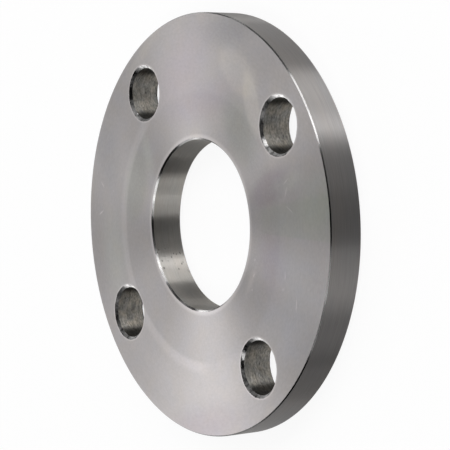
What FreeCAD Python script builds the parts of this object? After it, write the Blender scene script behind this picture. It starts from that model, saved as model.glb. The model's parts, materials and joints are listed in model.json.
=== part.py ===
import FreeCAD, Part
import math
import os

import Sketcher

# Plate flange for a two-inch steel pipe: one solid disc, turned all over, with a plain bore that the
# pipe slips into and a ring of bolt holes. Millimetres. The flange lies on its back face, the origin is
# the centre of that face and +Z runs along the bore to the front face.

doc = FreeCAD.newDocument("pipe_flange")

# Driving sizes. The rim lies outside the bolt holes by rim_wall, the metal between a hole and the rim.
# The rim's two edges, the bore's two mouths and both mouths of every bolt hole are chamfered at 45 degrees.
SIZES = {
    "thickness": 13.0,
    "bore_dia": 62.3,
    "bolt_circle_dia": 120.65,
    "bolt_hole_dia": 19.35,
    "bolt_hole_count": 4,
    "rim_wall": 7.0,
    "rim_chamfer": 0.4,
    "bore_chamfer": 0.9,
    "hole_chamfer": 1.0,
}

sheet = doc.addObject("Spreadsheet::Sheet", "Sizes")
for row, (alias, value) in enumerate(SIZES.items(), start=1):
    sheet.set(f"A{row}", alias)
    sheet.set(f"B{row}", str(value))
    sheet.setAlias(f"B{row}", alias)
doc.recompute()

# A sketch's own origin and its horizontal axis, as its constraints name them
SKETCH_ORIGIN = (-1, 1)
SKETCH_X_AXIS = -1


def size(alias):
    """Value of one driving size."""
    return float(sheet.get(alias))


def start(line):
    """Start point of a sketch line, as the constraints name it."""
    return (line, 1)


def end(line):
    """End point of a sketch line, as the constraints name it."""
    return (line, 2)


def origin_feature(body, role):
    """Plane or axis of a body's own origin, such as XZ_Plane."""
    return next(item for item in body.Origin.OriginFeatures if item.Role == role)


def section_sketch(body, name):
    """Empty sketch in the body's XZ plane: its x is the radius, its y the height above the back face."""
    sketch = body.newObject("Sketcher::SketchObject", name)
    sketch.AttachmentSupport = [(origin_feature(body, "XZ_Plane"), "")]
    sketch.MapMode = "FlatFace"
    return sketch


def constrain(sketch, kind, *values):
    """Adds one constraint and returns its index."""
    return sketch.addConstraint(Sketcher.Constraint(kind, *values))


def draw_outline(sketch, corners):
    """Closed outline through the corners; returns one line per corner, starting there."""
    points = [FreeCAD.Vector(x, y, 0) for x, y in corners]
    ends = points[1:] + points[:1]
    lines = [sketch.addGeometry(Part.LineSegment(a, b), False) for a, b in zip(points, ends)]
    for line, following in zip(lines, lines[1:] + lines[:1]):
        constrain(sketch, "Coincident", *end(line), *start(following))
    return lines


def square_up(sketch, level, upright):
    """Keeps some lines of a sketch horizontal and others vertical."""
    for line in level:
        constrain(sketch, "Horizontal", line)
    for line in upright:
        constrain(sketch, "Vertical", line)


def dimension(sketch, name, direction, first, second, formula):
    """Distance along X or Y from one sketch point to the next, bound to the sheet."""
    index = constrain(sketch, "Distance" + direction, *first, *second, 1.0)
    sketch.renameConstraint(index, name)
    sketch.setExpression(f"Constraints.{name}", formula)


def chamfer_legs(sketch, name, line, alias):
    """Sets both legs of the 45 degree chamfer that a sketch line draws."""
    left, right = sorted([start(line), end(line)], key=lambda point: sketch.getPoint(*point).x)
    low, high = sorted([start(line), end(line)], key=lambda point: sketch.getPoint(*point).y)
    dimension(sketch, name + "_width", "X", left, right, f"Sizes.{alias}")
    dimension(sketch, name + "_depth", "Y", low, high, f"Sizes.{alias}")


def turned_disc(body):
    """The disc: half of its section, chamfers included, turned about the bore's axis."""
    outer = (size("bolt_circle_dia") + size("bolt_hole_dia")) / 2 + size("rim_wall")
    bore = size("bore_dia") / 2
    top = size("thickness")
    rim, lip = size("rim_chamfer"), size("bore_chamfer")
    sketch = section_sketch(body, "disc_section")
    back, rim_back, rim_wall, rim_front, front, lip_front, bore_wall, lip_back = draw_outline(sketch, [
        (bore + lip, 0), (outer - rim, 0), (outer, rim), (outer, top - rim),
        (outer - rim, top), (bore + lip, top), (bore, top - lip), (bore, lip),
    ])
    chamfer_legs(sketch, "rim_back", rim_back, "rim_chamfer")
    chamfer_legs(sketch, "rim_front", rim_front, "rim_chamfer")
    chamfer_legs(sketch, "bore_back", lip_back, "bore_chamfer")
    chamfer_legs(sketch, "bore_front", lip_front, "bore_chamfer")
    square_up(sketch, level=[back, front], upright=[rim_wall, bore_wall])
    constrain(sketch, "PointOnObject", *start(back), SKETCH_X_AXIS)
    dimension(sketch, "plate_thickness", "Y", SKETCH_ORIGIN, start(front), "Sizes.thickness")
    dimension(sketch, "outside_radius", "X", SKETCH_ORIGIN, start(rim_wall),
              "(Sizes.bolt_circle_dia + Sizes.bolt_hole_dia) / 2 + Sizes.rim_wall")
    dimension(sketch, "bore_radius", "X", SKETCH_ORIGIN, start(bore_wall), "Sizes.bore_dia / 2")
    turned = body.newObject("PartDesign::Revolution", "turned_disc")
    turned.Profile = sketch
    turned.ReferenceAxis = (sketch, ["V_Axis"])
    turned.Angle = 360
    return turned


def drilled_hole(body):
    """One bolt hole: the section of the drill and its two countersunk mouths, turned about its own axis.

    The cones of the mouths run on past the faces by one more chamfer, so that they cut them cleanly. The
    sketch plane is turned about Z so that the ring of holes straddles the flange's centre lines.
    """
    reach = size("bolt_circle_dia") / 2
    radius = size("bolt_hole_dia") / 2
    top = size("thickness")
    lip = size("hole_chamfer")
    sketch = section_sketch(body, "bolt_hole_section")
    half_pitch = FreeCAD.Rotation(FreeCAD.Vector(0, 1, 0), 180 / size("bolt_hole_count"))
    sketch.AttachmentOffset = FreeCAD.Placement(FreeCAD.Vector(0, 0, 0), half_pitch)
    sketch.setExpression("AttachmentOffset.Rotation.Angle", "180 / Sizes.bolt_hole_count")
    bottom, mouth_back, wall, mouth_front, roof, axis = draw_outline(sketch, [
        (reach, -lip), (reach + radius + 2 * lip, -lip), (reach + radius, lip),
        (reach + radius, top - lip), (reach + radius + 2 * lip, top + lip), (reach, top + lip),
    ])
    square_up(sketch, level=[bottom, roof], upright=[wall, axis])
    dimension(sketch, "circle_radius", "X", SKETCH_ORIGIN, start(bottom), "Sizes.bolt_circle_dia / 2")
    dimension(sketch, "hole_radius", "X", start(bottom), start(wall), "Sizes.bolt_hole_dia / 2")
    dimension(sketch, "back_overrun", "Y", start(bottom), SKETCH_ORIGIN, "Sizes.hole_chamfer")
    dimension(sketch, "back_mouth_depth", "Y", SKETCH_ORIGIN, start(wall), "Sizes.hole_chamfer")
    dimension(sketch, "back_mouth_width", "X", start(wall), start(mouth_back), "2 * Sizes.hole_chamfer")
    dimension(sketch, "front_mouth_floor", "Y", SKETCH_ORIGIN, start(mouth_front),
              "Sizes.thickness - Sizes.hole_chamfer")
    dimension(sketch, "front_overrun", "Y", SKETCH_ORIGIN, start(roof),
              "Sizes.thickness + Sizes.hole_chamfer")
    dimension(sketch, "front_mouth_width", "X", end(wall), start(roof), "2 * Sizes.hole_chamfer")
    drilled = body.newObject("PartDesign::Groove", "bolt_hole")
    drilled.Profile = sketch
    drilled.ReferenceAxis = (sketch, [f"Edge{axis + 1}"])
    drilled.Angle = 360
    return drilled


def hole_ring(body, drilled):
    """The whole ring of bolt holes, evenly spaced about the bore."""
    ring = body.newObject("PartDesign::PolarPattern", "bolt_hole_ring")
    ring.Originals = [drilled]
    ring.Axis = (origin_feature(body, "Z_Axis"), [""])
    ring.Angle = 360
    ring.setExpression("Occurrences", "Sizes.bolt_hole_count")
    body.Tip = ring
    return ring


def hole_volume():
    """Volume of one bolt hole with its two countersunk mouths."""
    radius, lip = size("bolt_hole_dia") / 2, size("hole_chamfer")
    wide = radius + lip
    mouth = math.pi * lip / 3 * (wide ** 2 + wide * radius + radius ** 2)
    return math.pi * radius ** 2 * (size("thickness") - 2 * lip) + 2 * mouth


flange = doc.addObject("PartDesign::Body", "flange")
flange.Label = "flange"
turned = turned_disc(flange)
doc.recompute()
drilled = drilled_hole(flange)
doc.recompute()
hole_ring(flange, drilled)
doc.recompute()

# Every feature has to be sound, and the holes have to take away the volume that they should
for item in doc.Objects:
    if "Invalid" in item.State or "Error" in item.State:
        raise RuntimeError(f"{item.Label} did not compute: {item.State}")

if flange.Shape.isNull() or not flange.Shape.isValid() or len(flange.Shape.Solids) != 1:
    raise RuntimeError("the flange is not one sound solid")

removed = turned.Shape.Volume - flange.Shape.Volume
expected = size("bolt_hole_count") * hole_volume()
if abs(removed - expected) > 0.001 * expected:
    raise RuntimeError(f"the bolt holes took {removed:.0f} cubic millimetres, not {expected:.0f}")

os.makedirs("parts", exist_ok=True)
flange.Shape.exportStep(f"parts/{flange.Label}.step")
print(f"{flange.Label}: {flange.Shape.Volume:.0f} cubic millimetres, {len(flange.Shape.Faces)} faces")
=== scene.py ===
"""Looks of a lathe-turned steel pipe flange that lies on its back face."""

import json
import logging
import math
from dataclasses import dataclass, field
from enum import Enum

import bpy
from mathutils import Matrix, Vector


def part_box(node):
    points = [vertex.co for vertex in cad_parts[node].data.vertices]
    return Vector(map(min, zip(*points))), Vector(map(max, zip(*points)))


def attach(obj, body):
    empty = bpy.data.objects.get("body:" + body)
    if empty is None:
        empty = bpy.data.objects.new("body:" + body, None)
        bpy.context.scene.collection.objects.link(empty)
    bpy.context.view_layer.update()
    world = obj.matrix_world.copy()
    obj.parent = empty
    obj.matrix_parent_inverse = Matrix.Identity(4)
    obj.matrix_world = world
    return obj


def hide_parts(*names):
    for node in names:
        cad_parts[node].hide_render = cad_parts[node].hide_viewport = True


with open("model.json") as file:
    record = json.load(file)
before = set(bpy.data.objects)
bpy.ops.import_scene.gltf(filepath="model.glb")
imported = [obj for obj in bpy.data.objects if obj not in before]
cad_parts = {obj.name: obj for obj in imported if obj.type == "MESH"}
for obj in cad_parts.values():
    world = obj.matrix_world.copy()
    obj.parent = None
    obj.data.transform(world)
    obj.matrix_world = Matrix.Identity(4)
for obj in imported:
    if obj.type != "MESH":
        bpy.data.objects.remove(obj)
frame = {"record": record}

LOG = logging.getLogger("flange")
MM = 0.001
QUARTER_TURN = 0.25
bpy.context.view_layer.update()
MOUNTS = {mount["name"]: mount["dims"] for mount in frame["record"]["mounts"]}


class Value:
    """A number socket that is written like a number: each operator adds its Math node."""

    def __init__(self, graph: "Graph", socket: bpy.types.NodeSocket) -> None:
        """Wraps one output socket of a graph's node."""
        self.graph = graph
        self.socket = socket

    def __add__(self, other: "Value | float") -> "Value":
        """Sum."""
        return self.graph.maths("ADD", self, other)

    def __radd__(self, other: float) -> "Value":
        """Sum with a number on the left."""
        return self.graph.maths("ADD", other, self)

    def __sub__(self, other: "Value | float") -> "Value":
        """Difference."""
        return self.graph.maths("SUBTRACT", self, other)

    def __rsub__(self, other: float) -> "Value":
        """Difference from a number on the left."""
        return self.graph.maths("SUBTRACT", other, self)

    def __mul__(self, other: "Value | float") -> "Value":
        """Product."""
        return self.graph.maths("MULTIPLY", self, other)

    def __rmul__(self, other: float) -> "Value":
        """Product with a number on the left."""
        return self.graph.maths("MULTIPLY", other, self)

    def __truediv__(self, other: "Value | float") -> "Value":
        """Quotient."""
        return self.graph.maths("DIVIDE", self, other)

    def __gt__(self, other: "Value | float") -> "Value":
        """1 where this is the larger, else 0."""
        return self.graph.maths("GREATER_THAN", self, other)

    def __lt__(self, other: "Value | float") -> "Value":
        """1 where this is the smaller, else 0."""
        return self.graph.maths("LESS_THAN", self, other)

    def __abs__(self) -> "Value":
        """Size without its sign."""
        return self.graph.maths("ABSOLUTE", self)

    def smooth(self, low: float, high: float) -> "Value":
        """Soft step from 0 at low to 1 at high.

        Args:
            low: Where the step starts; it may be the larger of the two.
            high: Where the step ends.

        Returns:
            The step's height.
        """
        rising = low < high
        node = self.graph.add("ShaderNodeMapRange", {"interpolation_type": "SMOOTHSTEP", "clamp": True}, {
            "Value": self, "From Min": min(low, high), "From Max": max(low, high),
            "To Min": 0.0 if rising else 1.0, "To Max": 1.0 if rising else 0.0})
        return self.graph.value(node, "Result")


class Graph:
    """A node tree that is filled one node at a time."""

    def __init__(self, tree: bpy.types.NodeTree) -> None:
        """Takes over an empty tree."""
        self.tree = tree

    @classmethod
    def emptied(cls, block: bpy.types.Material | bpy.types.World) -> "Graph":
        """Takes over the nodes of a new material or world, with its first ones taken out.

        Args:
            block: The material or world.

        Returns:
            Its empty graph.
        """
        block.use_nodes = True
        block.node_tree.nodes.clear()
        return cls(block.node_tree)

    def add(self, kind: str, settings: dict | None = None, inputs: dict | None = None) -> bpy.types.Node:
        """Adds one node.

        Args:
            kind: The node's type, such as ShaderNodeMath.
            settings: The node's own options, which are set first.
            inputs: Socket name or number to a number, vector or link.

        Returns:
            The new node.
        """
        node = self.tree.nodes.new(kind)
        for name, setting in (settings or {}).items():
            setattr(node, name, setting)
        self.feed(node, inputs or {})
        return node

    def feed(self, node: bpy.types.Node, inputs: dict) -> None:
        """Sets or links some of a node's sockets.

        Args:
            node: A node of this graph.
            inputs: Socket name or number to a number, vector or link.
        """
        for key, source in inputs.items():
            socket = node.inputs[key]
            if isinstance(source, Value):
                source = source.socket
            if isinstance(source, bpy.types.NodeSocket):
                self.tree.links.new(source, socket)
            else:
                socket.default_value = source

    def value(self, node: bpy.types.Node, output: str | int = 0) -> Value:
        """One output of a node, as a value."""
        return Value(self, node.outputs[output])

    def maths(self, operation: str, *terms: "Value | float") -> Value:
        """One Math node on values and numbers."""
        node = self.add("ShaderNodeMath", {"operation": operation}, dict(enumerate(terms)))
        return self.value(node)

    def distance(self, x: Value, y: Value) -> Value:
        """How far a point of a plane lies from zero."""
        return self.maths("SQRT", x * x + y * y)

    def vector(self, x: "Value | float", y: "Value | float",
               z: "Value | float" = 0.0) -> bpy.types.NodeSocket:
        """Joins three numbers to a vector."""
        return self.add("ShaderNodeCombineXYZ", {}, {"X": x, "Y": y, "Z": z}).outputs[0]

    def parts(self, vector: bpy.types.NodeSocket) -> tuple[Value, Value, Value]:
        """Splits a vector into its three numbers."""
        node = self.add("ShaderNodeSeparateXYZ", {}, {0: vector})
        return self.value(node, "X"), self.value(node, "Y"), self.value(node, "Z")

    def blend(self, amount: "Value | float", first: object, second: object) -> bpy.types.NodeSocket:
        """Mixes two colours.

        Args:
            amount: 0 for the first colour, 1 for the second.
            first: A colour's numbers or a link.
            second: A colour's numbers or a link.

        Returns:
            The mixed colour.
        """
        node = self.add("ShaderNodeMix", {"data_type": "RGBA"}, {0: amount, 6: first, 7: second})
        return node.outputs[2]

    def multiplied(self, amount: Value, colour: bpy.types.NodeSocket,
                   shares: tuple[float, float, float]) -> bpy.types.NodeSocket:
        """A colour times three shares where the amount is 1, and as it was where it is 0."""
        node = self.add("ShaderNodeMix", {"data_type": "RGBA", "blend_type": "MULTIPLY"},
                        {0: amount, 6: colour, 7: (*shares, 1.0)})
        return node.outputs[2]

    def scaled(self, colour: bpy.types.NodeSocket, amount: Value) -> bpy.types.NodeSocket:
        """A colour or vector times a value."""
        node = self.add("ShaderNodeVectorMath", {"operation": "SCALE"}, {0: colour, "Scale": amount})
        return node.outputs[0]

    def noise(self, *terms: "Value | float", detail: float = 1.0, seed: float = 0.0,
              roughness: float = 0.55) -> Value:
        """Smooth noise about zero, mostly within a half of it either way.

        Args:
            terms: One to three values, in units of the noise's own grain.
            detail: How many finer layers are added.
            seed: Moves the pattern.
            roughness: How strong the finer layers are.

        Returns:
            The noise.
        """
        x, y, z = (*terms, 0.0, 0.0)[:3]
        node = self.add("ShaderNodeTexNoise", {"noise_dimensions": "3D"}, {
            "Vector": self.vector(x + seed, y, z), "Scale": 1.0, "Detail": detail,
            "Roughness": roughness})
        return self.value(node, "Fac") - 0.5


class Region(Enum):
    """Surfaces of the flange, each cut by a tool of its own."""

    FACE = "turned_face"
    RIM = "turned_rim"
    BORE = "bored_wall"
    RIM_EDGE = "rim_edge"
    BORE_EDGE = "bore_edge"
    MOUTH = "deburred_mouth"
    HOLE = "drilled_wall"


class Hue(Enum):
    """Tints of the stains and of the painted sheen on bare steel, as shares of red, green and blue."""

    PLAIN = (1.0, 1.0, 1.0)
    BEIGE = (1.005, 1.003, 0.975)
    OLIVE = (0.985, 1.02, 0.98)
    PLUM = (1.01, 0.98, 1.025)
    SLATE = (0.98, 1.0, 1.025)

    def shares(self, change: float) -> tuple[float, float, float]:
        """The tint, lighter or darker by that change."""
        red, green, blue = self.value
        return red * (1 + change), green * (1 + change), blue * (1 + change)


@dataclass(frozen=True)
class Place:
    """Where a point lies on the flange, in millimetres, with its heading as a cosine and a sine."""

    x: Value
    y: Value
    z: Value
    reach: Value
    east: Value
    north: Value

    @classmethod
    def on(cls, graph: Graph) -> "Place":
        """Adds the nodes that read the place.

        Args:
            graph: The material's nodes.

        Returns:
            The place's values in that graph.
        """
        point = graph.add("ShaderNodeTexCoord").outputs["Object"]
        x, y, z = (part / MM for part in graph.parts(point))
        reach = graph.distance(x, y)
        return cls(x, y, z, reach, x / reach, y / reach)

    def towards(self, heading: float) -> Value:
        """Cosine of the angle between the place's own heading and one in degrees."""
        turn = math.radians(heading)
        return self.east * math.cos(turn) + self.north * math.sin(turn)


@dataclass(frozen=True)
class HoleRing:
    """The ring of bolt holes, in millimetres."""

    circle: float = MOUNTS["bolt_holes"]["pcd_mm"] / 2
    radius: float = MOUNTS["bolt_holes"]["hole_r_mm"]
    count: int = MOUNTS["bolt_holes"]["count"]

    def nearest(self, graph: Graph, place: Place) -> tuple[Value, Value, Value]:
        """Where a point lies from the centre of the nearest hole.

        Args:
            graph: The material's nodes.
            place: Where the point lies on the flange.

        Returns:
            The hole's number, and the point's x and y from its centre in hole radii.
        """
        pitch = 2 * math.pi / self.count
        number = graph.maths("FLOOR", graph.maths("ARCTAN2", place.y, place.x) / pitch)
        middle = (number + 0.5) * pitch
        east = (place.x - graph.maths("COSINE", middle) * self.circle) / self.radius
        north = (place.y - graph.maths("SINE", middle) * self.circle) / self.radius
        return number, east, north


@dataclass(frozen=True)
class Look:
    """What varies over one finish: its colour, roughness and height in millimetres."""

    colour: bpy.types.NodeSocket
    roughness: Value
    height: Value


@dataclass(frozen=True)
class Mark:
    """A stain, smear, scratch, nick, painted highlight or painted glint: an oval seen from above, in
    millimetres and degrees.
    """

    hue: Hue
    x: float
    y: float
    length: float
    width: float
    heading: float
    change: float
    edge: float = 0.9

    def laid(self, graph: Graph, place: Place, colour: bpy.types.NodeSocket) -> bpy.types.NodeSocket:
        """Lays the mark over a colour.

        Args:
            graph: The material's nodes.
            place: Where a point lies.
            colour: The colour without the mark.

        Returns:
            The colour with the mark, whose soft edge takes up the edge's share of it.
        """
        own = graph.add("ShaderNodeMapping", {"vector_type": "TEXTURE"}, {
            "Vector": graph.vector(place.x, place.y), "Location": (self.x, self.y, 0.0),
            "Rotation": (0.0, 0.0, math.radians(self.heading)),
            "Scale": (self.length / 2, self.width / 2, 1.0)})
        off = graph.add("ShaderNodeVectorMath", {"operation": "LENGTH"}, {0: own.outputs[0]})
        cover = graph.value(off, "Value").smooth(1.0, 1.0 - self.edge)
        return graph.multiplied(cover, colour, self.hue.shares(self.change))


@dataclass(frozen=True)
class Wedge:
    """A painted dark reflection on the face between two headings, with sharp sides. Degrees and millimetres.

    The sides are soft steps of the sine across them, and the end one of the distance past the reach.
    """

    hue: Hue
    start: float
    stop: float
    reach: float
    change: float
    start_side: tuple[float, float] = (-0.006, 0.006)
    stop_side: tuple[float, float] = (-0.02, 0.03)
    end: tuple[float, float] = (-2.0, 3.0)

    def laid(self, graph: Graph, place: Place, colour: bpy.types.NodeSocket) -> bpy.types.NodeSocket:
        """Lays the wedge over a colour.

        Args:
            graph: The material's nodes.
            place: Where a point lies.
            colour: The colour without the wedge.

        Returns:
            The colour with the wedge.
        """
        low, high = math.radians(self.start), math.radians(self.stop)
        past_start = place.north * math.cos(low) - place.east * math.sin(low)
        before_stop = place.east * math.sin(high) - place.north * math.cos(high)
        sides = past_start.smooth(*self.start_side) * before_stop.smooth(*self.stop_side)
        cover = sides * place.reach.smooth(*(self.reach + step for step in self.end))
        return graph.multiplied(cover, colour, self.hue.shares(self.change))


@dataclass(frozen=True)
class Patch:
    """A lighter or darker stretch about the bore's axis, in degrees either side of its heading."""

    heading: float
    spread: float
    change: float
    soft: float = 3.0

    def cover(self, place: Place) -> Value:
        """1 within the spread of the heading, 0 well outside it."""
        outer, inner = (math.cos(math.radians(self.spread + turn)) for turn in (self.soft, -self.soft))
        return place.towards(self.heading).smooth(outer, inner)


def with_painted_reflections(painted_reflections: tuple[Patch, ...], place: Place, brightness: Value) -> Value:
    """Lays painted reflections over a brightness.

    Args:
        painted_reflections: The lighter and darker stretches.
        place: Where a point lies.
        brightness: The brightness without them.

    Returns:
        The brightness with every patch.
    """
    for patch in painted_reflections:
        brightness = brightness * (patch.cover(place) * patch.change + 1.0)
    return brightness


def blotched(graph: Graph, place: Place, grain: float) -> Value:
    """Noise in soft blotches of about that many millimetres."""
    return graph.noise(place.x / grain, place.y / grain, place.z / grain, detail=2.0, seed=9.0)


@dataclass(frozen=True)
class Finish:
    """Bare carbon steel: what every cut surface of the flange shares.

    Feed marks face upwards more than downwards, so that a wall shines as if it leaned: the lean is that
    slope. In all finishes a share says how much of the brightness a mark takes or adds, a depth is in
    millimetres, and a pair of numbers is a soft step: where it starts and where it is full.
    """

    region: Region
    tone: float
    roughness: float
    anisotropy: float
    lean: float = 0.0
    warm: tuple[float, float, float] = (1.03, 1.0, 0.98)
    cool: tuple[float, float, float] = (1.0, 1.0, 1.0)

    def look(self, graph: Graph, place: Place) -> Look:
        """What varies over this finish."""
        raise NotImplementedError

    def tinted(self, graph: Graph, hue: Value, brightness: Value) -> bpy.types.NodeSocket:
        """The steel's colour.

        Args:
            graph: The material's nodes.
            hue: 0 for the cool tint, 1 for the warm one.
            brightness: Share of the finish's own tone.

        Returns:
            The base colour.
        """
        tint = graph.blend(hue, (*self.cool, 1.0), (*self.warm, 1.0))
        return graph.scaled(tint, brightness * self.tone)

    def build(self) -> bpy.types.Material:
        """Makes the material.

        Returns:
            A node material for this region.
        """
        material = bpy.data.materials.new(self.region.value)
        graph = Graph.emptied(material)
        place = Place.on(graph)
        look = self.look(graph, place)
        height = (look.height - place.z * self.lean) * MM
        bump = graph.add("ShaderNodeBump", {}, {"Height": height, "Distance": 1.0, "Strength": 1.0})
        shader = graph.add("ShaderNodeBsdfPrincipled", {}, {
            "Base Color": look.colour, "Metallic": 1.0, "Roughness": look.roughness,
            "Anisotropic": self.anisotropy, "Anisotropic Rotation": QUARTER_TURN,
            "Normal": bump.outputs["Normal"]})
        graph.add("ShaderNodeOutputMaterial", {}, {"Surface": shader.outputs["BSDF"]})
        return material


@dataclass(frozen=True)
class FacedSteel(Finish):
    """The two flat faces: fine rings from the lathe, soft stains, a burnished ring, a few scratches, painted
    highlights on the lips and beside the bore, and a painted dark reflection.

    The inner step and the burnished ring lie a little off the bore's axis. Steps are in millimetres from
    the axis, and the hole's lip in hole radii from its centre.
    """

    # Stains and scratches, with a painted highlight and a painted dark reflection among them
    stains_and_sheen: tuple[Mark | Wedge, ...] = ()
    feed: float = 0.3
    feed_share: float = 0.1
    feed_depth: float = 0.002
    arc_width: float = 0.8
    arcs_round: float = 45.0
    arc_share: float = 0.24
    arc_depth: float = 0.0015
    cloud_size: float = 12.0
    cloud_share: float = 0.09
    cloud_gloss: float = 0.02
    hue_size: float = 9.0
    hue_change: float = 2.4
    off_axis: float = 0.9
    inner_share: float = 0.05
    inner_step: tuple[float, float] = (50.4, 48.4)
    outer_share: float = 0.06
    outer_step: tuple[float, float] = (60.0, 74.0)
    burnished: Patch = Patch(heading=212.0, spread=70.0, change=0.12, soft=6.0)
    burnished_start: tuple[float, float] = (48.6, 50.2)
    burnished_end: tuple[float, float] = (54.6, 51.8)
    holes: HoleRing = HoleRing()
    # Painted highlights: lighter lips on the face round the bolt holes and the bore
    lip_highlight_share: float = 0.28
    hole_lip_highlight: tuple[float, float] = (1.19, 1.12)
    bore_lip_highlight: tuple[float, float] = (33.6, 32.2)

    def look(self, graph: Graph, place: Place) -> Look:
        """Rings, clouds, the burnished ring, the painted highlights on the lips, and the stains with the
        painted sheen among them.

        Args:
            graph: The material's nodes.
            place: Where a point lies.

        Returns:
            The finish's look.
        """
        rings = graph.noise(place.reach / self.feed, detail=2.0)
        arcs = graph.noise(place.reach / self.arc_width, place.east * self.arcs_round,
                           place.north * self.arcs_round, detail=3.0, seed=3.0)
        cloud = graph.noise(place.x / self.cloud_size, place.y / self.cloud_size, detail=3.0, seed=11.0)
        hue = graph.noise(place.x / self.hue_size, place.y / self.hue_size, detail=3.0, seed=31.0)
        shifted = place.reach + place.north * self.off_axis
        ring = self.burnished.cover(place) * shifted.smooth(*self.burnished_start)
        ring = ring * shifted.smooth(*self.burnished_end)
        brightness = 1.0 + rings * self.feed_share + arcs * self.arc_share + cloud * self.cloud_share
        brightness = brightness - shifted.smooth(*self.inner_step) * self.inner_share
        brightness = brightness - place.reach.smooth(*self.outer_step) * self.outer_share
        brightness = brightness + ring * self.burnished.change
        # painted highlights on the lips round the holes and the bore
        brightness = brightness + self.lip_highlights(graph, place) * self.lip_highlight_share
        colour = self.tinted(graph, hue * self.hue_change + 0.5, brightness)
        # Stains, with the painted highlight and the painted dark reflection among them, laid over the colour
        for stain_and_sheen in self.stains_and_sheen:
            colour = stain_and_sheen.laid(graph, place, colour)
        return Look(colour, self.roughness + cloud * self.cloud_gloss,
                    rings * self.feed_depth + arcs * self.arc_depth)

    def lip_highlights(self, graph: Graph, place: Place) -> Value:
        """The painted highlights on the lips round the bolt holes and the bore.

        Args:
            graph: The material's nodes.
            place: Where a point lies.

        Returns:
            1 on a lip, 0 elsewhere.
        """
        _, east, north = self.holes.nearest(graph, place)
        off_hole = graph.distance(east, north)
        return graph.maths("MAXIMUM", off_hole.smooth(*self.hole_lip_highlight), place.reach.smooth(*self.bore_lip_highlight))


@dataclass(frozen=True)
class TurnedWall(Finish):
    """A wall that turns about the bore's axis: streaks that run round it, a few pits, and painted reflections
    in stretches round it.
    """

    streaks: float = 0.3
    feed: float = 0.6
    feed_depth: float = 0.003
    arc_width: float = 0.4
    arcs_round: float = 9.0
    arc_depth: float = 0.004
    arc_gloss: float = 0.04
    clouds_round: float = 2.5
    cloud_height: float = 6.0
    cloud_share: float = 0.1
    hue_change: float = 2.0
    # Painted reflections: lighter and darker stretches round the wall
    painted_reflections: tuple[Patch, ...] = ()
    pitted: Patch | None = None
    pit_scale: float = 0.7
    pit_length: float = 0.7
    pit_edge: tuple[float, float] = (0.26, 0.12)
    pit_depth: float = 0.05

    def look(self, graph: Graph, place: Place) -> Look:
        """Streaks round the wall, with its pits and its painted reflections.

        Args:
            graph: The material's nodes.
            place: Where a point lies.

        Returns:
            The finish's look.
        """
        feed = graph.noise(place.z / self.feed, detail=3.0)
        arcs = graph.noise(place.z / self.arc_width, place.east * self.arcs_round,
                           place.north * self.arcs_round, detail=3.0, seed=5.0)
        cloud = graph.noise(place.east * self.clouds_round, place.north * self.clouds_round,
                            place.z / self.cloud_height, detail=1.0, seed=17.0)
        brightness = 1.0 + feed * self.streaks + arcs * self.streaks + cloud * self.cloud_share
        height = feed * self.feed_depth + arcs * self.arc_depth
        if self.pitted:
            pits = self.pits(graph, place) * self.pitted.cover(place)
            brightness = brightness + pits * self.pitted.change
            height = height - pits * self.pit_depth
        # painted reflections laid over the brightness
        colour = self.tinted(graph, cloud * self.hue_change + 0.5, with_painted_reflections(self.painted_reflections, place, brightness))
        return Look(colour, self.roughness + arcs * self.arc_gloss, height)

    def pits(self, graph: Graph, place: Place) -> Value:
        """Small round pits.

        Args:
            graph: The material's nodes.
            place: Where a point lies.

        Returns:
            1 in a pit, 0 between the pits.
        """
        spot = graph.vector(place.x * self.pit_length, place.y * self.pit_length, place.z)
        cell = graph.add("ShaderNodeTexVoronoi", {"feature": "F1"}, {
            "Vector": spot, "Scale": self.pit_scale})
        return graph.value(cell, "Distance").smooth(*self.pit_edge)


@dataclass(frozen=True)
class CutEdge(Finish):
    """A small chamfer that a tool or a file cut, with painted shade darkening it towards the back face and
    painted reflections in stretches round it.
    """

    grain: float = 3.0
    mottle: float = 0.5
    blotch_gloss: float = 0.1
    blotch_depth: float = 0.02
    # Painted shade: where the chamfer darkens towards the back face, and how dark it gets there
    front: tuple[float, float] = (5.5, 7.5)
    back_shade_share: float = 0.15
    # Painted reflections: lighter and darker stretches along the chamfer
    painted_reflections: tuple[Patch, ...] = ()

    def look(self, graph: Graph, place: Place) -> Look:
        """Uneven brightness along the edge, with painted shade towards the back face and painted reflections.

        Args:
            graph: The material's nodes.
            place: Where a point lies.

        Returns:
            The finish's look.
        """
        blotch = blotched(graph, place, self.grain)
        # Painted shade: the chamfer darkens towards the back face
        side = place.z.smooth(*self.front) * (1.0 - self.back_shade_share) + self.back_shade_share
        # painted reflections laid over the brightness
        brightness = with_painted_reflections(self.painted_reflections, place, (blotch * self.mottle * 2.0 + 1.0) * side)
        return Look(self.tinted(graph, blotch + 0.5, brightness), self.roughness + blotch * self.blotch_gloss,
                    blotch * self.blotch_depth * self.mottle)


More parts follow.
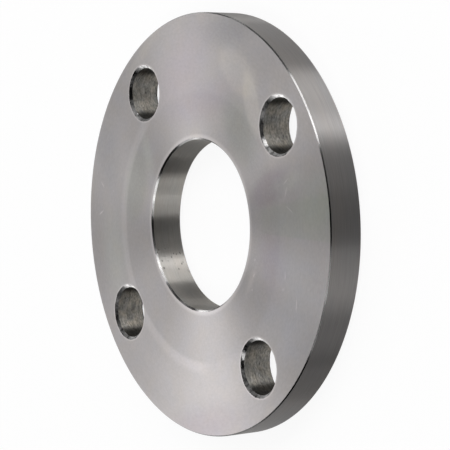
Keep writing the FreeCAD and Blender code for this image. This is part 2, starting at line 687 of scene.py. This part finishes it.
@dataclass(frozen=True)
class DeburredMouth(Finish):
    """The mouths of the bolt holes: filed by hand and blotchy, with painted highlights at the top and bottom
    and painted shade at the left.

    The steps are in hole radii from the hole's centre, north for top and bottom and east for left.
    """

    holes: HoleRing = HoleRing()
    grain: float = 2.2
    mottle: float = 3.0
    middle: float = 0.8
    blotch_gloss: float = 0.1
    blotch_depth: float = 0.02
    # Painted highlights at the top and bottom of each mouth, and painted shade at its left
    top: tuple[float, float] = (0.7, 1.0)
    top_highlight_share: float = 3.2
    bottom: tuple[float, float] = (-0.6, -1.0)
    bottom_highlight_share: float = 0.6
    left: tuple[float, float] = (-0.3, -0.8)
    left_shade_share: float = 0.4
    # Dark nicks, and painted glints where a mark lightens
    nicks_and_glints: tuple[Mark, ...] = ()

    def look(self, graph: Graph, place: Place) -> Look:
        """Blotches, the painted highlights at the top and bottom of each mouth, the painted shade at its
        left, and the nicks with their painted glints.

        Args:
            graph: The material's nodes.
            place: Where a point lies.

        Returns:
            The finish's look.
        """
        _, east, north = self.holes.nearest(graph, place)
        blotch = blotched(graph, place, self.grain)
        # Painted highlights at the top and bottom of each mouth, then painted shade at its left
        painted_highlight = north.smooth(*self.top) * self.top_highlight_share + north.smooth(*self.bottom) * self.bottom_highlight_share
        brightness = (blotch * self.mottle + self.middle) * (painted_highlight + 1.0)
        brightness = brightness * (1.0 - east.smooth(*self.left) * self.left_shade_share)
        colour = self.tinted(graph, blotch + 0.5, brightness)
        # Dark nicks and painted glints over the colour
        for nick_and_glint in self.nicks_and_glints:
            colour = nick_and_glint.laid(graph, place, colour)
        return Look(colour, self.roughness + blotch * self.blotch_gloss, blotch * self.blotch_depth)


@dataclass(frozen=True)
class DrilledWall(Finish):
    """The wall of a bolt hole: rough wavy drill marks that run round it, with brown and olive tints, and
    painted shade at its top and bottom.

    Sizes along the bore are in millimetres, counts round the hole in turns of the noise per radius.
    """

    holes: HoleRing = HoleRing()
    apart: float = 7.3
    waves_round: float = 1.4
    wave_length: float = 9.0
    wave_height: float = 2.5
    feed: float = 0.8
    feeds_round: float = 1.6
    feed_share: float = 1.3
    feed_depth: float = 0.03
    fine: float = 0.5
    fines_round: float = 9.0
    fine_share: float = 1.9
    fine_depth: float = 0.015
    fine_gloss: float = 0.1
    blotches_round: float = 2.4
    blotch_length: float = 4.0
    blotch_share: float = 0.8
    blotch_depth: float = 0.08
    hue_change: float = 2.5
    # Painted shade: how dark the ends of the wall are painted
    shade: float = 0.82
    left: tuple[float, float] = (-0.1, -0.75)
    top: tuple[float, float] = (0.5, 0.8)
    bottom: tuple[float, float] = (-0.72, -0.92)

    def look(self, graph: Graph, place: Place) -> Look:
        """Drill marks that differ in each hole, and the painted shade at its top and bottom.

        Args:
            graph: The material's nodes.
            place: Where a point lies.

        Returns:
            The finish's look.
        """
        number, east, north = self.holes.nearest(graph, place)
        moved = number * self.apart
        wave = graph.noise(east * self.waves_round + moved, north * self.waves_round,
                           place.z / self.wave_length, detail=1.0, seed=2.0)
        depth = place.z + wave * self.wave_height
        feed = graph.noise(depth / self.feed, east * self.feeds_round + moved,
                           north * self.feeds_round, detail=4.0, seed=5.0)
        fine = graph.noise(depth / self.fine, east * self.fines_round + moved,
                           north * self.fines_round, detail=3.0, seed=23.0)
        blotch = graph.noise(east * self.blotches_round + moved, north * self.blotches_round,
                             place.z / self.blotch_length, detail=2.0, seed=41.0)
        marks = feed * self.feed_share + fine * self.fine_share + blotch * self.blotch_share + 1.0
        # painted shade darkens the top and bottom of the wall
        brightness = marks * (1.0 - self.ends(graph, east, north) * self.shade)
        height = feed * self.feed_depth + fine * self.fine_depth + blotch * self.blotch_depth
        return Look(self.tinted(graph, blotch * self.hue_change + 0.5, brightness),
                    self.roughness + fine * self.fine_gloss, height)

    def ends(self, graph: Graph, east: Value, north: Value) -> Value:
        """How much painted shade darkens the wall: 1 at its bottom and its top left, a half at its top right.
        """
        top = north.smooth(*self.top) * (east.smooth(*self.left) * 0.5 + 0.5)
        return graph.maths("MAXIMUM", top, north.smooth(*self.bottom))


@dataclass
class Flange:
    """The one solid piece: a turned disc with a bore and a ring of bolt holes.

    Sizes are in metres and the crease in degrees. A normal's share of Z tells walls, chamfers and faces
    apart, and a wall counts as the rim's or the bore's where it lies within near of it.
    """

    outer_radius: float
    thickness: float
    bore_radius: float
    circle_radius: float
    hole_radius: float
    hole_count: int
    rim_chamfer: float = 0.4 * MM
    bore_chamfer: float = 0.6 * MM
    hole_chamfer: float = 1.0 * MM
    segments: int = 720
    hole_segments: int = 120
    mouth_grain: float = 2.6 * MM
    mouth_wander: float = 0.8
    crease: float = 20.0
    near: float = 0.5 * MM
    wall_share: float = 0.1
    face_share: float = 0.95

    @classmethod
    def from_frame(cls) -> "Flange":
        """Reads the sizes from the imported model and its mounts.

        Returns:
            The flange at its real size.
        """
        low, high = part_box("flange")
        bolts = MOUNTS["bolt_holes"]
        return cls(
            outer_radius=(high.x - low.x) / 2, thickness=high.z - low.z,
            bore_radius=MOUNTS["bore"]["r_mm"] * MM, circle_radius=bolts["pcd_mm"] * MM / 2,
            hole_radius=bolts["hole_r_mm"] * MM, hole_count=bolts["count"])

    def tree(self, finishes: dict[Region, bpy.types.Material]) -> bpy.types.NodeTree:
        """Builds the node tree that turns the disc and drills the ring of holes.

        Args:
            finishes: The material of each region.

        Returns:
            The tree, with the sizes as its named inputs.
        """
        tree = bpy.data.node_groups.new("flange_body", "GeometryNodeTree")
        graph = Graph(tree)
        tree.interface.new_socket("Geometry", in_out="OUTPUT", socket_type="NodeSocketGeometry")
        for name, number in self.inputs().items():
            kind = "NodeSocketInt" if isinstance(number, int) else "NodeSocketFloat"
            tree.interface.new_socket(name, in_out="INPUT", socket_type=kind)
        source = graph.add("NodeGroupInput")
        size = {name: graph.value(source, name) for name in self.inputs()}
        drilled = graph.add("GeometryNodeMeshBoolean", {"operation": "DIFFERENCE", "solver": "EXACT"}, {
            "Mesh 1": self._disc(graph, size), "Mesh 2": self._cutters(graph, size)})
        shaded = self._shade(graph, drilled.outputs["Mesh"])
        realized = graph.add("GeometryNodeRealizeInstances", {}, {
            "Geometry": self._dress(graph, size, shaded, finishes)})
        graph.add("NodeGroupOutput", {}, {"Geometry": realized.outputs["Geometry"]})
        return tree

    def inputs(self) -> dict[str, float | int]:
        """Names and values of the tree's inputs."""
        return {
            "Outer Radius": self.outer_radius,
            "Thickness": self.thickness,
            "Bore Radius": self.bore_radius,
            "Bore Chamfer": self.bore_chamfer,
            "Rim Chamfer": self.rim_chamfer,
            "Bolt Circle Radius": self.circle_radius,
            "Hole Radius": self.hole_radius,
            "Hole Chamfer": self.hole_chamfer,
            "Hole Count": self.hole_count,
            "Segments": self.segments,
            "Hole Segments": self.hole_segments,
        }

    def _disc(self, graph: Graph, size: dict[str, Value]) -> bpy.types.NodeSocket:
        """Sweeps the chamfered section round the bore's axis.

        Args:
            graph: The tree's nodes.
            size: The tree's inputs.

        Returns:
            The disc, on its back face.
        """
        middle = (size["Outer Radius"] + size["Bore Radius"]) * 0.5
        path = graph.add("GeometryNodeCurvePrimitiveCircle", {"mode": "RADIUS"},
                         {"Resolution": size["Segments"], "Radius": middle})
        section = graph.add("GeometryNodeCurvePrimitiveQuadrilateral", {"mode": "RECTANGLE"}, {
            "Width": size["Outer Radius"] - size["Bore Radius"], "Height": size["Thickness"]})
        across, _, _ = graph.parts(graph.add("GeometryNodeInputPosition").outputs[0])
        at_bore = across < 0.0
        leg = size["Rim Chamfer"] + (size["Bore Chamfer"] - size["Rim Chamfer"]) * at_bore
        chamfered = graph.add("GeometryNodeFilletCurve", {"mode": "POLY"}, {
            "Curve": section.outputs["Curve"], "Count": 1, "Radius": leg})
        swept = graph.add("GeometryNodeCurveToMesh", {}, {
            "Curve": path.outputs["Curve"], "Profile Curve": chamfered.outputs["Curve"]})
        raised = graph.add("GeometryNodeTransform", {}, {
            "Geometry": swept.outputs["Mesh"],
            "Translation": graph.vector(0.0, 0.0, size["Thickness"] * 0.5)})
        return raised.outputs["Geometry"]

    def _cutters(self, graph: Graph, size: dict[str, Value]) -> bpy.types.NodeSocket:
        """Sets drill shapes on the bolt circle, straddling the centre lines.

        Args:
            graph: The tree's nodes.
            size: The tree's inputs.

        Returns:
            The shapes, with countersinks of uneven edges at both ends.
        """
        shape, outwards = self._drill(graph, size)
        ring = graph.add("GeometryNodeMeshCircle", {"fill_type": "NONE"}, {
            "Vertices": size["Hole Count"], "Radius": size["Bolt Circle Radius"]})
        half_pitch = graph.maths("DIVIDE", math.pi, size["Hole Count"])
        turned = graph.add("GeometryNodeTransform", {}, {
            "Geometry": ring.outputs["Mesh"], "Rotation": graph.vector(0.0, 0.0, half_pitch)})
        capture = graph.add("GeometryNodeCaptureAttribute")
        capture.capture_items.new("VECTOR", "Outwards")
        graph.feed(capture, {"Geometry": shape, "Outwards": outwards})
        placed = graph.add("GeometryNodeInstanceOnPoints", {}, {
            "Points": turned.outputs["Geometry"], "Instance": capture.outputs["Geometry"]})
        ring_of_holes = graph.add("GeometryNodeRealizeInstances", {}, {"Geometry": placed.outputs[0]})
        here = graph.parts(graph.add("GeometryNodeInputPosition").outputs[0])
        wander = graph.noise(*(part / self.mouth_grain for part in here), detail=1.0, seed=4.0)
        offset = graph.scaled(capture.outputs["Outwards"], wander * size["Hole Chamfer"] * self.mouth_wander)
        uneven = graph.add("GeometryNodeSetPosition", {}, {
            "Geometry": ring_of_holes.outputs[0], "Offset": offset})
        return uneven.outputs["Geometry"]

    def _drill(self, graph: Graph,
               size: dict[str, Value]) -> tuple[bpy.types.NodeSocket, bpy.types.NodeSocket]:
        """One drill shape: a rod of four rings of points, whose two end rings stand past the faces.

        Args:
            graph: The tree's nodes.
            size: The tree's inputs.

        Returns:
            The shape, and the way in which unevenness moves each of its points.
        """
        lip, radius, top = size["Hole Chamfer"], size["Hole Radius"], size["Thickness"]
        rod = graph.add("GeometryNodeMeshCylinder", {"fill_type": "NGON"}, {
            "Vertices": size["Hole Segments"], "Side Segments": 3, "Radius": 1.0, "Depth": 3.0})
        x, y, z = graph.parts(graph.add("GeometryNodeInputPosition").outputs[0])
        end_ring = abs(z) > 1.0
        above = z > 0.0
        reach = radius + end_ring * lip * 2.0
        depth = lip - end_ring * lip * 2.0
        height = depth + above * (top - depth * 2.0)
        shape = graph.add("GeometryNodeSetPosition", {}, {
            "Geometry": rod.outputs["Mesh"], "Position": graph.vector(x * reach, y * reach, height)})
        outwards = graph.vector(x * end_ring, y * end_ring, (above * 2.0 - 1.0) * (1.0 - end_ring))
        return shape.outputs["Geometry"], outwards

    def _shade(self, graph: Graph, mesh: bpy.types.NodeSocket) -> bpy.types.NodeSocket:
        """Shades smooth up to every edge that is sharper than the crease.

        Args:
            graph: The tree's nodes.
            mesh: The drilled disc.

        Returns:
            The shaded mesh.
        """
        angle = graph.add("GeometryNodeInputMeshEdgeAngle")
        gentle = graph.value(angle, "Unsigned Angle") < math.radians(self.crease)
        smooth = graph.add("GeometryNodeSetShadeSmooth", {"domain": "FACE"}, {
            "Geometry": mesh, "Shade Smooth": True})
        creased = graph.add("GeometryNodeSetShadeSmooth", {"domain": "EDGE"}, {
            "Geometry": smooth.outputs["Geometry"], "Shade Smooth": gentle})
        return creased.outputs["Geometry"]

    def _dress(self, graph: Graph, size: dict[str, Value], mesh: bpy.types.NodeSocket,
               finishes: dict[Region, bpy.types.Material]) -> bpy.types.NodeSocket:
        """Gives each region its material, by the way its faces point and how far out they lie.

        Args:
            graph: The tree's nodes.
            size: The tree's inputs.
            mesh: The drilled disc.
            finishes: The material of each region.

        Returns:
            The mesh with its materials. A later region takes the faces that an earlier one has too.
        """
        _, _, rise = graph.parts(graph.add("GeometryNodeInputNormal").outputs["True Normal"])
        x, y, _ = graph.parts(graph.add("GeometryNodeInputPosition").outputs[0])
        tilt = abs(rise)
        reach = graph.distance(x, y)
        upright = tilt < self.wall_share
        masks = {
            Region.MOUTH: tilt > self.wall_share,
            Region.RIM_EDGE: reach > size["Outer Radius"] - size["Rim Chamfer"],
            Region.BORE_EDGE: reach < size["Bore Radius"] + size["Bore Chamfer"],
            Region.FACE: tilt > self.face_share,
            Region.HOLE: upright,
            Region.RIM: upright * (reach > size["Outer Radius"] - self.near),
            Region.BORE: upright * (reach < size["Bore Radius"] + self.near),
        }
        for region, mask in masks.items():
            mesh = graph.add("GeometryNodeSetMaterial", {}, {
                "Geometry": mesh, "Selection": mask, "Material": finishes[region]}).outputs["Geometry"]
        return mesh

    def build(self, finishes: dict[Region, bpy.types.Material]) -> bpy.types.Object:
        """Makes the dressed piece as a plain mesh.

        Args:
            finishes: The material of each region.

        Returns:
            The piece, at the origin, riding on the root body in place of the CAD node.
        """
        carrier = bpy.data.objects.new("flange_carrier", bpy.data.meshes.new("flange_carrier"))
        bpy.context.scene.collection.objects.link(carrier)
        modifier = carrier.modifiers.new("turning", "NODES")
        modifier.node_group = self.tree(finishes)
        sockets = {item.name: item.identifier for item in modifier.node_group.interface.items_tree
                   if item.in_out == "INPUT"}
        for name, number in self.inputs().items():
            modifier[sockets[name]] = number
        bpy.context.view_layer.update()
        evaluated = carrier.evaluated_get(bpy.context.evaluated_depsgraph_get())
        mesh = bpy.data.meshes.new_from_object(evaluated)
        mesh.name = "turned_flange"
        carrier.modifiers.remove(modifier)
        bpy.data.objects.remove(carrier)
        piece = bpy.data.objects.new("turned_flange", mesh)
        bpy.context.scene.collection.objects.link(piece)
        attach(piece, "root")
        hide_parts("flange")
        LOG.info("%s: %d vertices, %d faces", piece.name, len(mesh.vertices), len(mesh.polygons))
        return piece


@dataclass(frozen=True)
class Softbox:
    """A flat lamp that faces the flange. Angles in degrees, distance in metres."""

    name: str
    azimuth: float
    elevation: float
    width: float
    height: float
    brightness: float
    distance: float = 2.5

    def build(self) -> bpy.types.Object:
        """Hangs the lamp.

        Returns:
            The lamp, as wide and high as its angles ask for at its distance.
        """
        data = bpy.data.lights.new(self.name, "AREA")
        data.shape = "RECTANGLE"
        data.size = 2 * self.distance * math.tan(math.radians(self.width / 2))
        data.size_y = 2 * self.distance * math.tan(math.radians(self.height / 2))
        data.energy = self.brightness * math.pi * data.size * data.size_y
        lamp = bpy.data.objects.new(self.name, data)
        bpy.context.scene.collection.objects.link(lamp)
        azimuth, elevation = math.radians(self.azimuth), math.radians(self.elevation)
        away = Vector((math.cos(elevation) * math.cos(azimuth), math.cos(elevation) * math.sin(azimuth),
                       math.sin(elevation)))
        across = Vector((-math.sin(azimuth), math.cos(azimuth), 0.0))
        lamp.matrix_world = Matrix.LocRotScale(
            away * self.distance, Matrix((across, away.cross(across), away)).transposed(), None)
        lamp.visible_camera = False
        return lamp


@dataclass
class Studio:
    """Camera, floor and lamps. Lens and sensor in millimetres, all else in metres."""

    lens: float = 138.8
    sensor: float = 36.0
    clip: tuple[float, float] = (0.01, 50.0)
    camera_place: Vector = field(default_factory=lambda: Vector((510.16, 113.35, 367.97)) * MM)
    camera_right: Vector = field(default_factory=lambda: Vector((0.571, 0.0748, -0.8175)))
    camera_up: Vector = field(default_factory=lambda: Vector((-0.1888, 0.9811, -0.042)))
    surround: float = 0.03
    floor_size: float = 20.0
    floor_gap: float = 0.05 * MM
    floor_tone: float = 0.9
    floor_glow: float = 0.9
    softboxes: tuple[Softbox, ...] = (
        Softbox("window_low", azimuth=72.9, elevation=26.1, width=34.3, height=29.2, brightness=3.22),
        Softbox("window_high", azimuth=64.9, elevation=43.7, width=13.0, height=13.0, brightness=6.77),
        Softbox("far_wall", azimuth=199.5, elevation=19.6, width=56.5, height=38.3, brightness=1.17),
        Softbox("far_left", azimuth=159.2, elevation=5.1, width=21.5, height=9.1, brightness=3.09),
        Softbox("far_right", azimuth=209.3, elevation=33.1, width=13.0, height=20.4, brightness=1.01),
        Softbox("side", azimuth=242.5, elevation=10.4, width=64.2, height=19.8, brightness=0.63),
        Softbox("near_strip", azimuth=341.2, elevation=42.3, width=23.2, height=13.0, brightness=3.55),
        Softbox("side_strip", azimuth=303.9, elevation=40.3, width=13.0, height=32.5, brightness=0.81),
        Softbox("overhead_a", azimuth=310.3, elevation=57.5, width=25.1, height=23.1, brightness=2.03),
        Softbox("overhead_b", azimuth=94.6, elevation=63.9, width=43.5, height=38.2, brightness=1.74),
        Softbox("overhead_c", azimuth=247.6, elevation=73.7, width=23.1, height=18.9, brightness=3.53),
        Softbox("fill", azimuth=102.2, elevation=5.1, width=65.0, height=9.1, brightness=2.09),
        Softbox("mid_fill", azimuth=145.1, elevation=45.0, width=23.6, height=44.6, brightness=1.54),
    )

    def camera(self) -> None:
        """Sets the camera at the photograph's viewing angle."""
        data = bpy.data.cameras.new("camera")
        data.lens = self.lens
        data.sensor_width = self.sensor
        data.clip_start, data.clip_end = self.clip
        camera = bpy.data.objects.new("camera", data)
        bpy.context.scene.collection.objects.link(camera)
        right = self.camera_right.normalized()
        back = right.cross(self.camera_up).normalized()
        axes = Matrix((right, back.cross(right), back)).transposed()
        camera.matrix_world = Matrix.LocRotScale(self.camera_place, axes, None)
        bpy.context.scene.camera = camera

    def floor(self) -> None:
        """A plain pale floor under the back face, which camera and gloss see as white."""
        bpy.ops.mesh.primitive_plane_add(size=self.floor_size, location=(0, 0, -self.floor_gap))
        plane = bpy.context.object
        plane.name = "floor"
        material = bpy.data.materials.new("floor_paper")
        graph = Graph.emptied(material)
        rays = graph.add("ShaderNodeLightPath")
        seen = graph.maths("MAXIMUM", graph.value(rays, "Is Camera Ray"), graph.maths(
            "MAXIMUM", graph.value(rays, "Is Glossy Ray"), graph.value(rays, "Is Transmission Ray")))
        matt = graph.add("ShaderNodeBsdfDiffuse", {}, {"Color": (*[self.floor_tone] * 3, 1.0)})
        white = graph.add("ShaderNodeEmission", {}, {"Color": (1.0, 1.0, 1.0, 1.0), "Strength": 1.0})
        paper = graph.add("ShaderNodeMixShader", {}, {
            0: seen * self.floor_glow, 1: matt.outputs[0], 2: white.outputs[0]})
        graph.add("ShaderNodeOutputMaterial", {}, {"Surface": paper.outputs[0]})
        plane.data.materials.append(material)

    def world(self) -> None:
        """A dim even surround."""
        world = bpy.data.worlds.new("surround")
        graph = Graph.emptied(world)
        bpy.context.scene.world = world
        glow = graph.add("ShaderNodeBackground", {}, {"Color": (1, 1, 1, 1), "Strength": self.surround})
        graph.add("ShaderNodeOutputWorld", {}, {"Surface": glow.outputs[0]})

    def build(self) -> None:
        """Makes the whole studio."""
        self.camera()
        self.floor()
        self.world()
        for softbox in self.softboxes:
            softbox.build()
        bpy.context.scene.view_settings.view_transform = "Standard"


# Stains, smears, scratches and specks of the faces, with a painted highlight and a painted dark reflection
# among them, laid in this order
STAINS_AND_PAINTED_SHEEN = (
    Mark(Hue.BEIGE, x=17.5, y=57.5, length=32.0, width=16.0, heading=-26.0, change=0.12, edge=0.4),
    Mark(Hue.BEIGE, x=26.5, y=48.0, length=27.0, width=10.0, heading=-66.0, change=0.12, edge=0.35),
    Mark(Hue.OLIVE, x=20.5, y=37.5, length=38.0, width=22.0, heading=-47.0, change=-0.14, edge=0.7),
    Mark(Hue.OLIVE, x=-44.0, y=7.0, length=38.0, width=20.0, heading=85.0, change=-0.09, edge=0.6),
    Mark(Hue.SLATE, x=-65.0, y=15.0, length=43.0, width=28.0, heading=115.0, change=-0.12),
    Mark(Hue.OLIVE, x=-56.0, y=-22.0, length=52.0, width=24.0, heading=106.0, change=0.10),
    Mark(Hue.OLIVE, x=68.0, y=22.0, length=32.0, width=24.0, heading=40.0, change=0.06, edge=0.6),
    Mark(Hue.PLUM, x=41.0, y=21.0, length=32.0, width=15.0, heading=35.0, change=-0.14, edge=0.6),
    Mark(Hue.SLATE, x=59.0, y=-8.0, length=60.0, width=40.0, heading=-45.0, change=-0.04),
    Mark(Hue.PLUM, x=45.0, y=-3.5, length=42.0, width=23.0, heading=100.0, change=-0.05),
    Mark(Hue.SLATE, x=56.0, y=-27.0, length=47.0, width=29.0, heading=-10.0, change=0.12),
    Mark(Hue.PLUM, x=11.0, y=-74.0, length=90.0, width=23.0, heading=25.0, change=-0.09),
    Mark(Hue.SLATE, x=11.0, y=73.5, length=52.0, width=19.0, heading=14.0, change=-0.14),
    Mark(Hue.PLUM, x=-18.0, y=54.0, length=62.0, width=37.0, heading=48.0, change=-0.05),
    Mark(Hue.BEIGE, x=-46.0, y=57.0, length=50.0, width=7.0, heading=48.0, change=0.08),
    Mark(Hue.PLUM, x=-2.5, y=44.5, length=60.0, width=21.0, heading=23.0, change=-0.07),
    # A painted highlight: a lighter streak on the face beside the bore's mouth
    Mark(Hue.PLAIN, x=34.3, y=-14.0, length=17.0, width=4.4, heading=68.0, change=0.14),
    # A painted dark reflection: the darker sector of the face right of the bore
    Wedge(Hue.OLIVE, start=6.5, stop=19.0, reach=38.0, change=-0.03),
    Mark(Hue.OLIVE, x=50.0, y=24.0, length=28.0, width=9.0, heading=25.0, change=0.08),
    Mark(Hue.OLIVE, x=-37.0, y=20.0, length=26.0, width=10.0, heading=118.0, change=0.09),
    Mark(Hue.PLAIN, x=49.5, y=24.5, length=5.1, width=0.7, heading=47.0, change=0.3),
    Mark(Hue.PLAIN, x=50.1, y=20.7, length=6.5, width=0.7, heading=-100.0, change=0.3),
    Mark(Hue.PLAIN, x=53.2, y=15.4, length=6.4, width=0.7, heading=-21.0, change=0.3),
    Mark(Hue.PLAIN, x=-67.8, y=-8.0, length=5.4, width=1.0, heading=37.0, change=0.4),
    Mark(Hue.PLAIN, x=-68.0, y=3.0, length=5.3, width=0.9, heading=-38.0, change=0.3),
    Mark(Hue.PLAIN, x=53.6, y=-7.7, length=4.4, width=0.8, heading=-82.0, change=0.3),
    Mark(Hue.PLAIN, x=53.1, y=-12.3, length=2.4, width=1.8, heading=42.0, change=0.14),
    Mark(Hue.PLAIN, x=61.1, y=-15.8, length=6.9, width=0.8, heading=-87.0, change=0.34),
    Mark(Hue.PLAIN, x=-60.0, y=2.0, length=1.8, width=1.2, heading=0.0, change=0.14),
    Mark(Hue.PLAIN, x=35.8, y=-5.5, length=1.6, width=1.1, heading=80.0, change=0.3),
    Mark(Hue.PLAIN, x=35.9, y=-11.0, length=2.2, width=1.0, heading=70.0, change=0.3),
    Mark(Hue.PLAIN, x=35.5, y=-16.3, length=1.4, width=1.1, heading=60.0, change=0.3),
)

# The largest nicks of the bolt holes' mouths, which darken, and painted glints on them, which lighten
NICKS_AND_GLINTS = (
    Mark(Hue.PLAIN, x=-52.6, y=41.3, length=6.0, width=2.6, heading=-83.0, change=-0.9, edge=0.3),
    Mark(Hue.PLAIN, x=33.3, y=-44.0, length=3.8, width=2.4, heading=-62.0, change=-0.9, edge=0.3),
    Mark(Hue.PLAIN, x=32.6, y=40.7, length=5.0, width=2.4, heading=-82.0, change=-0.4, edge=0.3),
    Mark(Hue.PLAIN, x=35.4, y=36.1, length=4.8, width=1.8, heading=-49.0, change=4.0, edge=0.4),
    Mark(Hue.PLAIN, x=32.9, y=-40.5, length=5.4, width=1.6, heading=-90.0, change=3.5, edge=0.4),
    Mark(Hue.PLAIN, x=-47.1, y=34.6, length=1.6, width=1.6, heading=0.0, change=6.0, edge=0.4),
    Mark(Hue.PLAIN, x=34.0, y=-44.9, length=1.3, width=1.3, heading=0.0, change=30.0, edge=0.4),
)

# Painted reflections: lighter and darker stretches of the walls and of their chamfers
RIM_PAINTED_REFLECTIONS = (
    Patch(heading=-20.0, spread=7.0, change=-0.22),
    Patch(heading=28.0, spread=8.0, change=0.15),
    Patch(heading=84.0, spread=5.0, change=0.3),
)

BORE_PAINTED_REFLECTIONS = (
    Patch(heading=164.0, spread=9.0, change=0.4, soft=5.0),
    Patch(heading=181.0, spread=5.0, change=0.2),
)

RIM_EDGE_PAINTED_REFLECTIONS = (
    Patch(heading=-8.0, spread=12.0, change=-0.4),
    Patch(heading=-38.0, spread=14.0, change=-0.5),
    Patch(heading=17.0, spread=13.0, change=-0.6),
    Patch(heading=47.0, spread=5.0, change=0.8),
    Patch(heading=75.0, spread=18.0, change=0.5),
)

BORE_EDGE_PAINTED_REFLECTIONS = (
    Patch(heading=104.0, spread=18.0, change=1.6),
    Patch(heading=172.0, spread=14.0, change=0.7),
    Patch(heading=198.0, spread=9.0, change=-0.5),
    Patch(heading=140.0, spread=13.0, change=-0.4),
    Patch(heading=228.0, spread=6.0, change=0.7),
    Patch(heading=295.0, spread=18.0, change=0.9),
)

FINISHES = (
    FacedSteel(Region.FACE, tone=0.41, roughness=0.3, anisotropy=0.9,
               warm=(1.07, 1.0, 0.97), cool=(1.045, 1.0, 1.02), stains_and_sheen=STAINS_AND_PAINTED_SHEEN),
    TurnedWall(Region.RIM, tone=0.21, roughness=0.35, anisotropy=1.0, lean=0.47,
               warm=(1.06, 1.0, 0.96), cool=(1.03, 1.0, 0.99), painted_reflections=RIM_PAINTED_REFLECTIONS),
    TurnedWall(Region.BORE, tone=0.27, roughness=0.35, anisotropy=1.0, lean=0.47,
               warm=(1.065, 1.0, 0.92), cool=(1.025, 1.0, 0.95), painted_reflections=BORE_PAINTED_REFLECTIONS,
               pitted=Patch(heading=219.0, spread=11.0, change=-0.5)),
    CutEdge(Region.RIM_EDGE, tone=0.2, roughness=0.22, anisotropy=0.9, mottle=0.15,
            painted_reflections=RIM_EDGE_PAINTED_REFLECTIONS),
    CutEdge(Region.BORE_EDGE, tone=0.23, roughness=0.2, anisotropy=0.9, mottle=0.15,
            painted_reflections=BORE_EDGE_PAINTED_REFLECTIONS),
    DeburredMouth(Region.MOUTH, tone=0.15, roughness=0.28, anisotropy=0.5, lean=0.7, nicks_and_glints=NICKS_AND_GLINTS),
    DrilledWall(Region.HOLE, tone=0.29, roughness=0.6, anisotropy=0.4, lean=0.35,
                warm=(1.09, 1.0, 0.86), cool=(1.01, 1.0, 0.96)),
)


def main() -> None:
    """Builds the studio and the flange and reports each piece."""
    logging.basicConfig(level=logging.INFO, format="%(name)s: %(message)s")
    Studio().build()
    Flange.from_frame().build({finish.region: finish.build() for finish in FINISHES})


if __name__ == "__main__":
    main()
